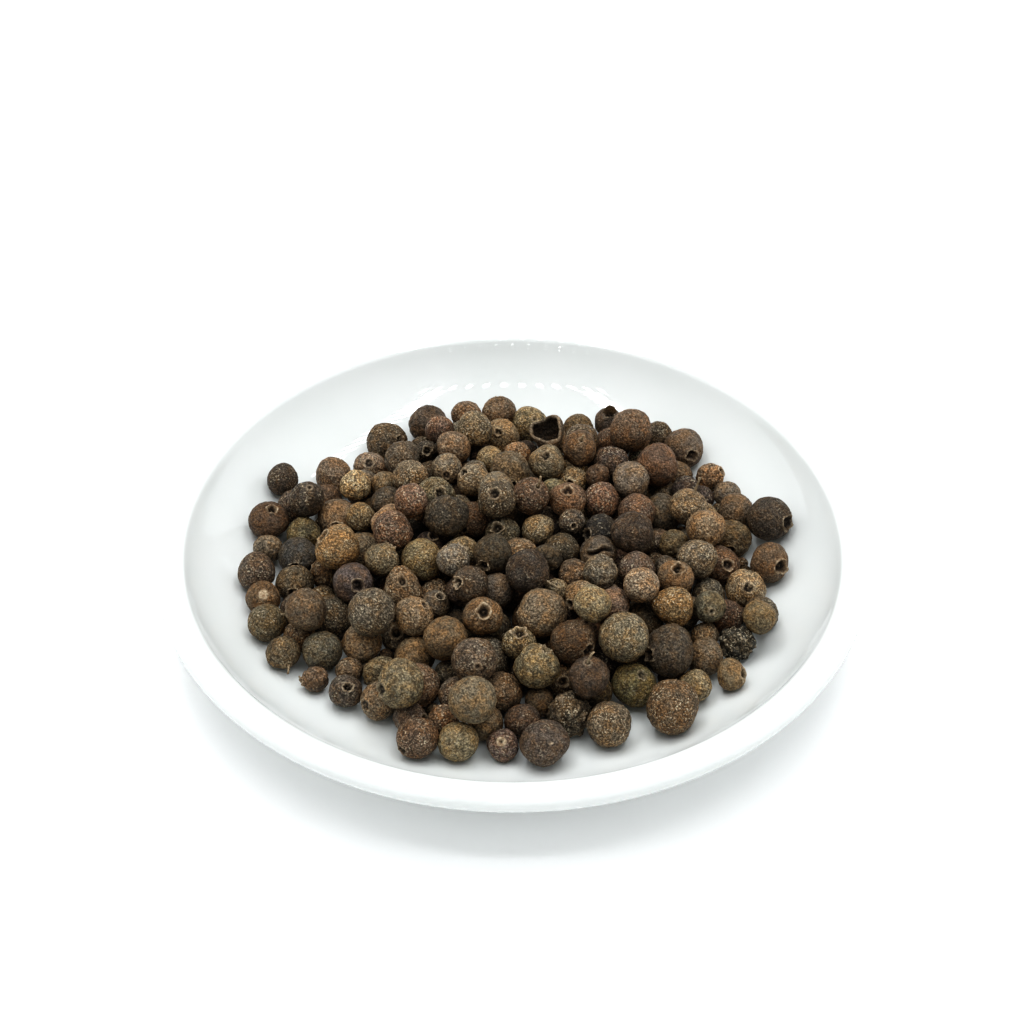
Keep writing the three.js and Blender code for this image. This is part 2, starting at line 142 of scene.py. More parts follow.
# Berries that stand out on top: x, y, diameter and look. Each rolls into the nearest hollow.
TOP_BERRIES = [
    (-28.5, -1, 7.8, Look("crowned", (-0.7, 0.55), "amber", ring=0.3, peak=(0.15, 0.95, 0.10), dents=0)),
    (17, -24, 8.3, Look("plain", (0.2, 0.95), "tan", dents=0, lumps=0.012, grain=0.02)),
    (-5, -28.5, 7.6, Look("navel", (0.15, -0.2), "tan", dents=0, grain=0.02)),
    (-6, -37.5, 7.4, Look("plain", (-0.6, 0.7), "olive")),
    (-10.5, -24.5, 7.6, Look("plain", (0.2, 0.9))),
    (-17, -29.5, 7.9, Look("wrinkled", (-0.8, -0.2), "olive")),
    (-5.5, -19, 6.7, Look("crowned", (0.05, 0.3))),
    (-29.5, -11.5, 6.7, Look("crowned", (0.35, -0.1), "dark", ring=0.34, fleck=0.2)),
    (-34.5, -16, 7.3, Look("stalked", (-0.93, -0.2), stalk=0.7, sag=(-0.2, 0.1))),
    (15.5, -5, 6.4, Look("split", (0.0, 0.2), "dark", spin=0.15, fleck=0.1, dents=0)),
    (15, 10.5, 6.6, Look("plain", (-0.8, 0.3), "reddish")),
    (19, 9.5, 6.6, Look("plain", (0.8, 0.3), "reddish")),
    (-21, -9.5, 6.9, Look("crowned", (0.05, 0.3), ring=0.2, peak=(-0.1, 0.95, 0.22))),
    (-15.5, -16.5, 6.8, Look("scarred", (0.6, 0.6), pear=0.12)),
    (11, -32, 6.7, Look("stalked", (-0.1, 0.78), "dark", stalk=2.2, sag=(0.9, 0.1), dents=0, fleck=0.1)),
    (30, 11.5, 6.9, Look("stalked", (0.3, 0.85), stalk=2.0, sag=(0.1, 0.6))),
    (15, 2, 6.4, Look("crowned", (-0.8, -0.1), "slate")),
    (7.5, 0.5, 6.4, Look("plain", (-0.2, 0.9), "dark")),
    (-1.5, 19.5, 7.4, Look("wrinkled", (0.1, -0.75), "tan", fleck=0.2)),
    (33, -14, 5.6, Look("navel", (0.05, -0.25), "sage", grain=0.02)),
    (27, -14.5, 6.6, Look("plain", (0.6, 0.7), "amber", peak=(-0.97, 0.1, 0.12))),
    (24.5, 17.5, 8, Look("plain", (0.1, 0.9), "reddish")),
    (5, 33, 6.2, Look("cup", (-0.3, 0.62), "dark", peak=(0.35, -0.7, 0.3))),
]

# Berries of the rest whose crowns show: about where each came to rest, and its look.
SEEN_BERRIES = [
    (-15.8, 28.2, 10.8, Look("crowned", (0.15, 0.0), "dark")),
    (-8.6, 41.6, 8.6, Look("crowned", (0.1, -0.45))),
    (-2.3, 35.2, 8.5, Look("scarred", (-0.1, 0.2))),
    (-6.9, 15.9, 14.2, Look("crowned", (-0.6, 0.45), "tan")),
    (6.1, 19.9, 14.9, Look("crowned", (-0.1, 0.4), "olive")),
    (-2.7, 5.3, 18.8, Look("crowned", (-0.1, 0.35), "dark")),
    (9.5, 9.2, 15.5, Look("crowned", (0.0, 0.5), "reddish")),
    (10.2, 3.6, 15.5, Look("crowned", (0.1, -0.35), "dark")),
    (35.7, -0.1, 8.6, Look("crowned", (0.25, 0.05), "reddish")),
    (11.3, -14.6, 14.9, Look("crowned", (-0.7, -0.35))),
    (25.3, -23.6, 11.5, Look("crowned", (-0.85, -0.1), "dark")),
    (7.6, -26.7, 8.0, Look("crowned", (0.15, -0.05))),
    (19.7, -28.3, 8.7, Look("scarred", (0.3, 0.55), "olive")),
    (31.5, 30.5, 9.8, Look("crowned", (0.3, -0.4), "tan")),
    (-12.8, -12.8, 11.5, Look("crowned", (0.35, 0.6), "grey")),
    (-6.9, -12.8, 16.2, Look("crowned", (-0.7, 0.1), "dark")),
    (1.1, -23.1, 12.5, Look("crowned", (0.0, 0.75), "olive")),
    (-37.0, 2.2, 8.5, Look("crowned", (-0.1, -0.55), "slate")),
    (-16.2, -34.7, 7.7, Look("crowned", (0.8, 0.0), "dark")),
    (-15.3, -28.6, 8.6, Look("scarred", (0.1, 0.6), "reddish")),
    (39.5, -6.1, 8.7, Look("wrinkled", (0.0, 0.1), "olive")),
    (27.1, -8.5, 13.9, Look("crowned", (0.1, 0.5))),
    (3.2, 8.2, 17.4, Look("stalked", (0.4, 0.5), "reddish")),
    (-26.0, 26.8, 8.0, Look("scarred", (0.0, 0.3), "grey")),
    (18.1, 39.5, 8.7, Look("crowned", (0.0, 0.55), "dark", flap=2.8)),
    (-13.5, 10.3, 15.1, Look("wrinkled", (0.3, 0.2), "olive", fleck=0.9)),
    (-35.9, 12.2, 13.2, Look("navel", (0.2, 0.6), "dark")),
    (-40.7, -14.7, 9.1, Look("plain", (0.2, 0.6), "olive")),
    (-37.1, -4.5, 8.3, Look("crowned", (0.0, -0.45), "olive", ring=0.24)),
    (-4.0, 24.7, 11.8, Look("plain", (0.0, 0.8), "tan")),
]

# Mixed into the rest: each kind's share, and each colour's.
KIND_SHARES = {
    "plain": 0.24, "navel": 0.12, "scarred": 0.22, "crowned": 0.22, "wrinkled": 0.16, "stalked": 0.04,
}
COLOUR_SHARES = {
    "brown": 0.31, "grey": 0.16, "dark": 0.24, "reddish": 0.10, "olive": 0.11, "tan": 0.05, "rust": 0.03,
}
COLOURS = {
    "brown": (0.230, 0.165, 0.103),
    "grey": (0.208, 0.170, 0.122),
    "dark": (0.118, 0.090, 0.064),
    "slate": (0.080, 0.073, 0.061),
    "reddish": (0.195, 0.130, 0.083),
    "olive": (0.240, 0.189, 0.115),
    "tan": (0.275, 0.214, 0.139),
    "sage": (0.285, 0.252, 0.158),
    "amber": (0.245, 0.166, 0.088),
    "rust": (0.210, 0.136, 0.079),
}
BURIED_PAINTED_SHADE = 0.5  # painted shade: the ones underneath are coloured darker, standing in for the heap's shadow on them
SHADE_SPREAD = 0.22  # from berry to berry of one colour, as a spread of the logarithm
TINT_SPREAD = (0.03, 0.0, 0.06)

# What is drawn by lot for a crown: its radius as a share of the berry's, the collar's height, the
# hollow's depth and how pale the collar is.
CROWNS = {
    "crowned": {"size": (0.24, 0.37), "height": (0.2, 0.5), "hollow": (0.5, 0.9), "paleness": (0.6, 1.0)},
    "scarred": {"size": (0.18, 0.3), "height": (0.05, 0.18), "hollow": (0.2, 0.45), "paleness": (0.3, 0.8)},
    "wrinkled": {"size": (0.2, 0.32), "height": (0.1, 0.4), "hollow": (0.3, 0.6), "paleness": (0.4, 0.9)},
}

# Berries whose skins have broken up. Folds: depth and how far apart. Lumps: height and how far apart.
# Flakes: how pale, how far apart and how high a wave has to be before one shows.
RUINS = {
    "crumbled": {"folds": (0.35, 1.9), "lumps": (0.22, 1.5), "flakes": (0.5, 1.3, 0.7)},
    "shrivelled": {"folds": (0.55, 2.0), "lumps": (0.25, 1.7), "flakes": (0.45, 0.9, 0.8)},
}


def rounded(length):
    """Lengths that decide where berries come to rest are whole millionths of a millimetre."""
    return math.floor(length * 1e6 + 0.5) / 1e6


def lip_point(slope):
    """The point of the lip's section where the inside falls at a given slope."""
    across = LIP_HALF_WIDTH * math.sin(slope)
    up = LIP_HALF_HEIGHT * math.cos(slope)
    reach = math.hypot(across, up)
    return LIP_RADIUS - LIP_HALF_WIDTH * across / reach, LIP_HEIGHT + LIP_HALF_HEIGHT * up / reach


WALL_TOP_RADIUS, WALL_TOP_HEIGHT = lip_point(WALL_SLOPE)
WALL_ARC = rounded((WALL_TOP_HEIGHT - FLOOR_HEIGHT) / (1 - math.cos(WALL_SLOPE)))
FLAT_RADIUS = rounded(WALL_TOP_RADIUS - WALL_ARC * math.sin(WALL_SLOPE))
ARC_HEIGHT = FLOOR_HEIGHT + WALL_ARC


def outline_point(index):
    angle = 2 * math.pi * index / len(OUTLINE_RADII)
    radius = OUTLINE_RADII[index]
    return rounded(radius * math.cos(angle)), rounded(radius * math.sin(angle))


OUTLINE = [outline_point(index) for index in range(len(OUTLINE_RADII))]


# ---- Where the berries lie: the same steps as in the part's source ----

class Ball:
    """A berry as a ball. `limit` is how far out it may lie, as a share of the outline's reach."""

    def __init__(self, x, y, r, fixed=False, limit=1.0, look=None):
        self.x = x
        self.y = y
        self.z = 0.0
        self.r = r
        self.fixed = fixed
        self.limit = limit
        self.look = look


class Draws:
    """Random draws that come out the same in both languages."""

    def __init__(self, seed):
        self.state = seed

    def number(self):
        self.state = (self.state * 1664525 + 1013904223) % 4294967296
        return self.state / 4294967296

    def diameter(self):
        bell = self.number() + self.number() + self.number() - 1.5
        diameter = MEAN_DIAMETER + DIAMETER_SPREAD * bell
        return min(GREATEST_DIAMETER, max(LEAST_DIAMETER, diameter))

    def gap_diameter(self):
        return GAP_DIAMETER + self.number()

    def place(self, reach):
        """A random place whose share of the way out is at most `reach`."""
        while True:
            x = (self.number() * 2 - 1) * DISH_RADIUS
            y = (self.number() * 2 - 1) * DISH_RADIUS
            if share_out(x, y) <= reach:
                return x, y


def share_out(x, y):
    """How far out a place lies, as a share of the way from the dish's middle to the outline."""
    for index, (from_x, from_y) in enumerate(OUTLINE):
        to_x, to_y = OUTLINE[(index + 1) % len(OUTLINE)]
        if from_x * y - from_y * x < 0 or to_x * y - to_y * x >= 0:
            continue
        return (x * (to_y - from_y) - y * (to_x - from_x)) / (from_x * to_y - from_y * to_x)
    return 0.0


def fence_in(ball):
    """Draws a ball back if it strays past its own share of the outline's reach."""
    share = share_out(ball.x, ball.y)
    if share <= ball.limit:
        return
    ball.x *= ball.limit / share
    ball.y *= ball.limit / share


def keep_in_dish(ball):
    """Moves a ball out of the dish's floor and curved wall."""
    out = math.sqrt(ball.x * ball.x + ball.y * ball.y)
    if out <= FLAT_RADIUS:
        ball.z = max(ball.z, FLOOR_HEIGHT + ball.r)
        return
    across = out - FLAT_RADIUS
    drop = ARC_HEIGHT - ball.z
    away = math.sqrt(across * across + drop * drop)
    reach = WALL_ARC - ball.r
    if drop <= 0 or away <= reach:
        return
    scale = (FLAT_RADIUS + across * reach / away) / out
    ball.x *= scale
    ball.y *= scale
    ball.z = ARC_HEIGHT - drop * reach / away


def push_apart(a, b, share, room=1):
    """Pushes two balls apart until they touch, with `room` times their size."""
    reach = (a.r + b.r) * room
    dx = a.x - b.x
    dy = a.y - b.y
    dz = a.z - b.z
    square = dx * dx + dy * dy + dz * dz
    if square >= reach * reach:
        return
    push = reach / math.sqrt(square) - 1
    if a.fixed:
        share = 0
    elif b.fixed:
        share = 1
    if not a.fixed:
        a.x += dx * push * share
        a.y += dy * push * share
        a.z += dz * push * share
    if not b.fixed:
        b.x -= dx * push * (1 - share)
        b.y -= dy * push * (1 - share)
        b.z -= dz * push * (1 - share)


def settle(ball, others):
    """Lets a ball down on the others and rolls it, in small steps, until they hold it."""
    fall = 0.25
    least_fall = 0.0005
    most_steps = 600
    steps_per_look = 12
    passes = 5

    ball.z = FLOOR_HEIGHT + ball.r
    for other in others:
        reach = ball.r + other.r
        dx = ball.x - other.x
        dy = ball.y - other.y
        square = reach * reach - dx * dx - dy * dy
        if square > 0:
            ball.z = max(ball.z, other.z + math.sqrt(square))

    keep_in_dish(ball)
    near = []
    for step in range(most_steps):
        if step % steps_per_look == 0:
            near = [other for other in others if is_near(ball, other, steps_per_look * fall)]
        before = ball.z
        ball.z -= fall
        for _ in range(passes):
            for other in near:
                push_apart(ball, other, 1)
            keep_in_dish(ball)
        if before - ball.z < least_fall:
            break


def is_near(ball, other, margin):
    reach = ball.r + margin + other.r
    return flat_square(ball, other) < reach * reach


def lay_floor(berries, draws):
    """The berries on the dish: spread out side by side within the outline, then lowered on to the dish."""
    for x, y, diameter, look in EDGE_BERRIES:
        berries.append(Ball(x, y, diameter / 2, fixed=True, look=look))
    while len(berries) < FLOOR_BERRIES:
        x, y = draws.place(1)
        r = draws.diameter() / 2
        berries.append(Ball(x, y, r, limit=1 + RAGGEDNESS * (draws.number() * 2 - 1)))

    for room, rounds in ((1.08, 40), (1.02, 30), (0.99, 20)):
        for _ in range(rounds):
            for index, berry in enumerate(berries):
                for other in berries[:index]:
                    push_apart(berry, other, 0.5, room)
                if not berry.fixed:
                    fence_in(berry)

    for berry in berries:
        berry.z = FLOOR_HEIGHT + berry.r
        keep_in_dish(berry)


def lay_tops(berries):
    tops = []
    for x, y, diameter, look in TOP_BERRIES:
        berry = Ball(x, y, diameter / 2, look=look)
        settle(berry, berries)
        berries.append(berry)
        tops.append(berry)
    return tops


def flat_square(a, b):
    """The square of how far apart two balls are, seen from above."""
    dx = a.x - b.x
    dy = a.y - b.y
    return dx * dx + dy * dy


def lies_over(ball, tops):
    share = 0.85
    for top in tops:
        reach = share * (top.r + ball.r)
        if flat_square(ball, top) < reach * reach:
            return True
    return False


def drop_loose(berries, tops, draws, count, size, tries, first_reach, last_reach):
    """Drops loose berries clear of the standing-out ones. Each keeps the lowest of a few tries."""
    for index in range(count):
        r = size() / 2
        reach = first_reach + (last_reach - first_reach) * index / count
        best = None
        tried = 0
        while tried < tries:
            berry = Ball(*draws.place(reach), r)
            if lies_over(berry, tops):
                continue
            settle(berry, berries)
            if best is None or berry.z < best.z:
                best = berry
            tried += 1
        berries.append(best)


def touching_pairs(berries):
    margin = 1.5
    pairs = []
    for index, a in enumerate(berries):
        for b in berries[:index]:
            dz = a.z - b.z
            reach = a.r + b.r + margin
            if flat_square(a, b) + dz * dz < reach * reach:
                pairs.append((a, b))
    return pairs


def shake_down(berries):
    """Shakes the whole heap down a little. Of two that touch, the upper one gives way more."""
    rounds = 60
    rounds_per_look = 8
    passes = 3
    fall = 0.12
    upper_share = 0.75
    pairs = []
    for turn in range(rounds):
        if turn % rounds_per_look == 0:
            berries.sort(key=lambda berry: (berry.z, berry.x))
            pairs = touching_pairs(berries)
        for berry in berries:
            if not berry.fixed:
                berry.z -= fall
        for _ in range(passes):
            for a, b in pairs:
                push_apart(a, b, upper_share if a.z > b.z else 1 - upper_share)
            for berry in berries:
                if berry.fixed:
                    continue
                fence_in(berry)
                keep_in_dish(berry)


def pile_up():
    draws = Draws(HEAP_SEED)
    berries = []
    lay_floor(berries, draws)
    drop_loose(berries, [], draws, GAP_BERRIES, draws.gap_diameter, 12, 0.95, 0.95)
    tops = lay_tops(berries)
    drop_loose(berries, tops, draws, UPPER_BERRIES, draws.diameter, 5, 0.88, 0.5)
    shake_down(berries)
    return berries


# ---- Mesh helpers ----

def mesh_object(name, vertices, faces, material, attributes=None):
    """A smooth-shaded object from arrays of places in millimetres and corners."""
    mesh = bpy.data.meshes.new(name)
    mesh.from_pydata([tuple(place) for place in np.asarray(vertices) * METRES], [], faces)
    for key, values in (attributes or {}).items():
        kind, field = ("FLOAT_COLOR", "color") if values.ndim == 2 else ("FLOAT", "value")
        layer = mesh.attributes.new(key, kind, "POINT")
        layer.data.foreach_set(field, values.astype(np.float32).ravel())
    mesh.polygons.foreach_set("use_smooth", [True] * len(mesh.polygons))
    mesh.materials.append(material)
    mesh.update()
    piece = bpy.data.objects.new(name, mesh)
    bpy.context.scene.collection.objects.link(piece)
    return piece


def ball_faces(rows, sides):
    """Faces of a closed grid: a first pole, `rows` rings of `sides` corners, and a last pole."""
    faces = []
    for side in range(sides):
        after = (side + 1) % sides
        faces.append((0, 1 + side, 1 + after))
        for row in range(rows - 1):
            here = 1 + row * sides
            faces.append((here + side, here + sides + side, here + sides + after, here + after))
        base = 1 + (rows - 1) * sides
        faces.append((base + side, 1 + rows * sides, base + after))
    return faces


def smooth_step(low, high, value):
    share = np.clip((value - low) / (high - low), 0, 1)
    return share * share * (3 - 2 * share)


def hump(away):
    """A smooth hump: 1 at its middle, and about a third at 1 away from it."""
    return np.exp(-away ** 2)


def any_angle(rng):
    return rng.uniform(0, 2 * math.pi)


def waves(places, wavelength, rng, count=14):
    """Uneven lumps about this far apart, from about -1 to 1, as a sum of plane waves."""
    total = np.zeros(places.shape[:-1])
    for _ in range(count):
        direction = rng.normal(size=3)
        direction *= rng.uniform(0.7, 1.3) * 2 * math.pi / wavelength / np.linalg.norm(direction)
        total += np.cos(places @ direction + any_angle(rng))
    return total / math.sqrt(count)


# ---- Berries ----

class Grid:
    """Directions of a ball's grid, closer together round the crown, which is at its first pole."""

    def __init__(self, crown_rows, body_rows, sides):
        crown_zone = 0.55
        near = np.linspace(0, crown_zone, crown_rows + 1)[1:]
        far = np.linspace(crown_zone, math.pi, body_rows + 2)[1:-1]
        self.rows = crown_rows + body_rows
        self.sides = sides
        tilt = np.concatenate((near, far))
        around = np.arange(sides) * 2 * math.pi / sides
        self.tilt = np.concatenate(([0], np.repeat(tilt, sides), [math.pi]))
        self.around = np.concatenate(([0], np.tile(around, self.rows), [0]))
        self.faces = ball_faces(self.rows, sides)


FINE_GRID = Grid(14, 26, 46)
PLAIN_GRID = Grid(6, 30, 42)
BURIED_GRID = Grid(3, 14, 24)
GRIDS = {"plain": PLAIN_GRID, "buried": BURIED_GRID}
SMALL_RADIUS = 3.15


def directions(tilt, around):
    return np.stack((np.sin(tilt) * np.cos(around), np.sin(tilt) * np.sin(around), np.cos(tilt)), axis=-1)


def ripple(around, rng, *lobes):
    """An uneven wave round a ring, from about -1 to 1."""
    total = np.zeros_like(around)
    for count in lobes or (2, 3, 5, 7):
        total += rng.normal(scale=0.5) * np.cos(count * around + any_angle(rng))
    return total


class Skin:
    """A berry's relief and sideways lean in millimetres, how pale each place is, and how much shade is
    painted on it where hollows and creases lie in shadow.
    """

    def __init__(self, r, grid, rng):
        self.r = r
        self.rng = rng
        self.tilt = grid.tilt
        self.around = grid.around
        self.ways = directions(grid.tilt, grid.around)
        self.relief, self.lean, self.rim, self.pit = np.zeros((4, len(grid.tilt)))

    def ripple(self, *lobes):
        return ripple(self.around, self.rng, *lobes)

    def waves(self, apart, count=14):
        return waves(self.ways * self.r, apart, self.rng, count)

    def lighten(self, share):
        self.rim = np.maximum(self.rim, share)

    # Paints shade into the colour, where a hollow, a crease or a slit lies in shadow.
    def paint_shade(self, share):
        self.pit = np.maximum(self.pit, share)


def add_crown(skin, size, height, hollow, paleness):
    """The crown left by the flower: a torn, four-cornered collar round a hollow, with a shred in it."""
    rng = skin.rng
    arc = skin.tilt * skin.r
    corners = rng.uniform(0.1, 1) * np.cos(4 * skin.around + any_angle(rng))
    ring = size * skin.r * (1 + 0.10 * corners + 0.11 * skin.ripple())
    half_width = rng.uniform(0.12, 0.19) * (1 + 0.25 * skin.ripple())
    collar = 1 - smooth_step(0.45, 1.3, np.abs(arc - ring) / half_width)
    standing = np.clip(0.65 + 0.45 * corners + 0.5 * skin.ripple(1, 2, 3, 5, 8), 0, 1.5)
    inside = 1 - smooth_step(0.62, 0.95, arc / ring)
    nub = hump(arc / 0.24) * (1 + 0.3 * skin.ripple(1, 2, 3))
    beside = 1 - np.cos(skin.around - any_angle(rng))
    shred = rng.uniform(0, 1) * np.exp(-((arc / ring - 0.55) / 0.25) ** 2 - (beside / 0.25) ** 2)
    raised = height * standing * collar + 0.09 * hump((arc - ring) / 0.5)
    skin.relief += raised - hollow * inside * (1 - 0.45 * nub - 0.6 * shred)
    skin.lean += rng.uniform(-0.05, 0.2) * collar * standing
    skin.lighten(paleness * collar * np.clip(0.35 + 0.8 * standing, 0, 1))
    skin.lighten(paleness * np.clip(0.4 * nub + 0.8 * shred, 0, 1))
    # Painted shade in the hollow, less over the nub and the shred.
    skin.paint_shade(inside * (1 - np.clip(0.6 * nub + shred, 0, 1)))


def add_navel(skin):
    """A small dimple in a low ring, where a stalk or a crown has come off clean."""
    arc = skin.tilt * skin.r
    dimple = hump(arc / 0.32)
    ring = hump((arc - 0.55) / 0.2)
    skin.relief += 0.10 * ring - 0.30 * dimple
    # Painted shade in the dimple.
    skin.paint_shade(dimple)
    skin.lighten(0.4 * ring)


def add_folds(skin, depth, apart):
    """Creases about this far apart, where the skin has dried in folds, clear of the crown."""
    crease = hump(skin.waves(apart, 18) / 0.30) * smooth_step(0.34, 0.55, skin.tilt)
    skin.relief -= depth * crease
    # Painted shade in the creases.
    skin.paint_shade(0.45 * crease)


def add_split(skin):
    """A gaping slit over the first pole, with thin raised edges."""
    half_width = 0.085
    edge_place = 0.19
    edge_width = 0.06
    right, up, ahead = skin.ways.T
    across = right + 0.08 * np.sin(5 * up)
    length = 1 - smooth_step(0.55, 0.8, np.abs(up))
    front = smooth_step(0.1, 0.4, ahead) * length
    slit = hump(across / half_width) * front
    lips = hump((np.abs(across) - edge_place) / edge_width) * front
    skin.relief += 0.14 * lips - 0.95 * slit
    # Painted shade in the slit.
    skin.paint_shade(np.clip(1.3 * slit, 0, 1))
    skin.lighten(0.3 * lips)


def add_dents(skin, count):
    """Broad hollows where the flesh has shrunk under the skin, clear of the crown."""
    rng = skin.rng
    depth = 0.10 * skin.r
    for _ in range(count):
        spot = rng.normal(size=3)
        spot /= np.linalg.norm(spot)
        away = np.arccos(np.clip(skin.ways @ spot, -1, 1)) / rng.uniform(0.3, 0.65)
        hollow = rng.uniform(0.5, 1) * hump(away)
        skin.relief -= depth * hollow * smooth_step(0.3, 0.6, skin.tilt)


def add_ruin(skin, folds, lumps, flakes):
    """Deep folds, lumps and pale flakes."""
    add_folds(skin, *folds)
    height, apart = lumps
    skin.relief += height * skin.waves(apart, 20)
    paleness, apart, least = flakes
    skin.lighten(paleness * smooth_step(least, 1.2, skin.waves(apart)))


def add_features(skin, look):
    """What makes a berry one of its kind."""
    kind = look.kind
    if kind in CROWNS:
        measures = {name: skin.rng.uniform(*span) for name, span in CROWNS[kind].items()}
        measures["size"] = look.shape.get("ring", measures["size"])
        add_crown(skin, **measures)
    if kind == "wrinkled":
        add_folds(skin, 0.18, 2.4)
    elif kind in ("navel", "stalked"):
        add_navel(skin)
        add_folds(skin, 0.07, 3.2)
    elif kind == "split":
        add_split(skin)
    elif kind in RUINS:
        add_ruin(skin, **RUINS[kind])


def berry_shape(r, look, grid, rng):
    """A berry's places about its middle, with its crown towards +Z, how its rim shows, and where shade is
    painted on it.
    """
    shape = look.shape
    skin = Skin(r, grid, rng)
    add_features(skin, look)
    add_dents(skin, shape.get("dents", rng.integers(0, 4)))

    lumps = shape.get("lumps", rng.uniform(0.015, 0.045))
    pear = shape.get("pear", rng.normal(scale=0.035))
    reach = 1 + lumps * waves(skin.ways, 1.5, rng) - pear * skin.ways[:, 2] - 0.5 * abs(pear)
    reach += 0.010 * skin.waves(1.2, 20)
    if grid is not BURIED_GRID:
        grain = shape.get("grain", rng.uniform(0.016, 0.045))
        skin.relief += grain * rng.normal(size=len(grid.tilt)) * smooth_step(0.1, 0.6, grid.tilt)

    ways = directions(grid.tilt + skin.lean / r, grid.around)
    places = ways * (r * reach + skin.relief)[:, None]
    places *= (rng.normal(1, 0.03), rng.normal(1, 0.03), rng.normal(0.975, 0.035))
    return places, skin.rim, skin.pit


def broken_cup(r, grid, rng):
    """Half of a hollow berry: the grid runs up the inside, over a torn edge and down the outside."""
    wall = 0.55
    turn_over = 0.45
    row_share = grid.tilt / math.pi
    edge = 1.15 + 0.22 * ripple(grid.around, rng)
    rising = np.clip(row_share / turn_over, 0, 1)
    falling = np.clip((row_share - turn_over) / (1 - turn_over), 0, 1)
    tilt = math.pi - (math.pi - edge) * (rising - falling)
    tilt[0] = tilt[-1] = math.pi
    outward = smooth_step(turn_over - 0.03, turn_over + 0.03, row_share)
    ways = directions(tilt, grid.around)
    reach = r * (1 + 0.03 * waves(ways, 1.3, rng)) - wall * (1 - outward)
    reach -= 0.12 * waves(ways * r, 1.4, rng) * (1 - outward)
    rim = 0.5 * hump((row_share - turn_over) / 0.035)
    # Painted shade over the cup's inside.
    pit = 0.8 * (1 - outward)
    return ways * reach[:, None], rim, pit


def stalk_tube(base, ahead, length, sag, rng):
    """A thin dry stalk from a base point, that bends by `sag` on its way."""
    rings = 7
    sides = 7
    root = 0.25  # how far it starts below the skin
    turn = turned_to(ahead, 0)
    places = [base - 0.3 * ahead]
    for ring in range(rings):
        share = ring / (rings - 1)
        middle = base + ahead * (length * share - root * (1 - share)) + sag * share * share
        radius = 0.25 - 0.08 * share + 0.05 * (share > 0.9)
        for side in range(sides):
            angle = 2 * math.pi * side / sides
            knob = radius * (1 + 0.18 * rng.normal())
            places.append(middle + turn[:, 0] * knob * math.cos(angle) + turn[:, 1] * knob * math.sin(angle))
    places.append(base + ahead * (length + 0.05) + sag)
    return np.array(places), ball_faces(rings, sides)


def turned_to(axis, spin):
    """The turn that takes +Z to an axis, after a spin about it."""
    third = np.asarray(axis, dtype=float)
    third /= np.linalg.norm(third)
    helper = np.array([1.0, 0, 0]) if abs(third[0]) < 0.8 else np.array([0, 1.0, 0])
    first = np.cross(helper, third)
    first /= np.linalg.norm(first)
    second = np.cross(third, first)
    turn = np.stack((first, second, third), axis=1)
    cos, sin = math.cos(spin), math.sin(spin)
    return turn @ np.array([[cos, -sin, 0], [sin, cos, 0], [0, 0, 1]])


def front_axis(right, up):
    """A direction given by how far it leans right and up in the front view."""
    out = math.sqrt(max(0.0, 1 - right * right - up * up))
    cos, sin = math.cos(VIEW_ELEVATION), math.sin(VIEW_ELEVATION)
    return np.array([right, up * sin - out * cos, up * cos + out * sin])


def pick(shares, rng):
    """One name by lot, each as likely as its share."""
    names = list(shares)
    weights = np.array([shares[name] for name in names])
    return names[rng.choice(len(names), p=weights / weights.sum())]


def torn_flap(base, ahead, length, rng):
    """A thin curled piece of shell that stands up from a broken crown."""
    ways = directions(BURIED_GRID.tilt, BURIED_GRID.around)
    width = 0.42 * length
    across = width * ways[:, 1] * (1 + 0.25 * ways[:, 2])
    thick = 0.15 * ways[:, 0] + 0.5 * across ** 2 / width
    along = 0.5 * length * (1 + ways[:, 2])
    places = np.stack((thick, across, along), axis=-1) + 0.04 * rng.normal(size=(len(ways), 3))
    return places @ turned_to(ahead, 0).T + base, BURIED_GRID.faces


def draw_out(places, look, r):
    """Draws one end of a berry out, in the direction that its look names, and thins it there."""
    if "peak" not in look.shape:
        return places
    right, up, amount = look.shape["peak"]
    axis = front_axis(right, up)
    along = places @ axis / r
    outward = places - np.outer(along * r, axis)
    drawn = along * r * (1 + amount * np.maximum(along, 0))
    return np.outer(drawn, axis) + outward * (1 - amount * along)[:, None]


def pale_spot(places, look, r):
    """How much of a pale spot shows, where a look names one: right, up and the spot's radius."""
    if "spot" not in look.shape:
        return 0
    right, up, radius = look.shape["spot"]
    away = np.linalg.norm(places - r * front_axis(right, up), axis=1)
    return 1 - smooth_step(0.6 * radius, radius, away)


def is_buried(ball, berries):
    """True for a berry that so many higher ones lie over that no view from outside reaches it."""
    least_cover = 3
    least_rise = 0.35 * ball.r
    cover = 0
    for other in berries:
        if other is ball or other.z < ball.z + least_rise:
            continue
        reach = ball.r + other.r
        if flat_square(ball, other) < 0.6 * reach * reach:
            cover += 1
    return cover >= least_cover


class Batch:
    """Berries of one kind that are joined into one piece."""

    def __init__(self):
        self.places = []
        self.faces = []
        self.attributes = {"skin": [], "rim": [], "pit": [], "fleck": []}
        self.count = 0

    def add(self, places, faces, colour, rim, pit, fleck):
        size = len(places)
        self.faces += [tuple(corner + self.count for corner in face) for face in faces]
        self.count += size
        self.places.append(places)
        self.attributes["skin"].append(np.tile((*colour, 1.0), (size, 1)))
        for key, values in (("rim", rim), ("pit", pit), ("fleck", fleck)):
            self.attributes[key].append(np.broadcast_to(values, size))

    def build(self, name, material):
        attributes = {key: np.concatenate(parts) for key, parts in self.attributes.items()}
        return mesh_object(name, np.concatenate(self.places), self.faces, material, attributes)


def berry_colour(look, rng):
    colour = np.array(COLOURS[look.colour]) * math.exp(rng.normal(scale=SHADE_SPREAD))
    colour *= np.exp(rng.normal(scale=TINT_SPREAD))
    # Painted shade: berries underneath get a darker colour, standing in for the heap's shadow.
    if look.kind == "buried":
        colour *= BURIED_PAINTED_SHADE
    return tuple(colour)


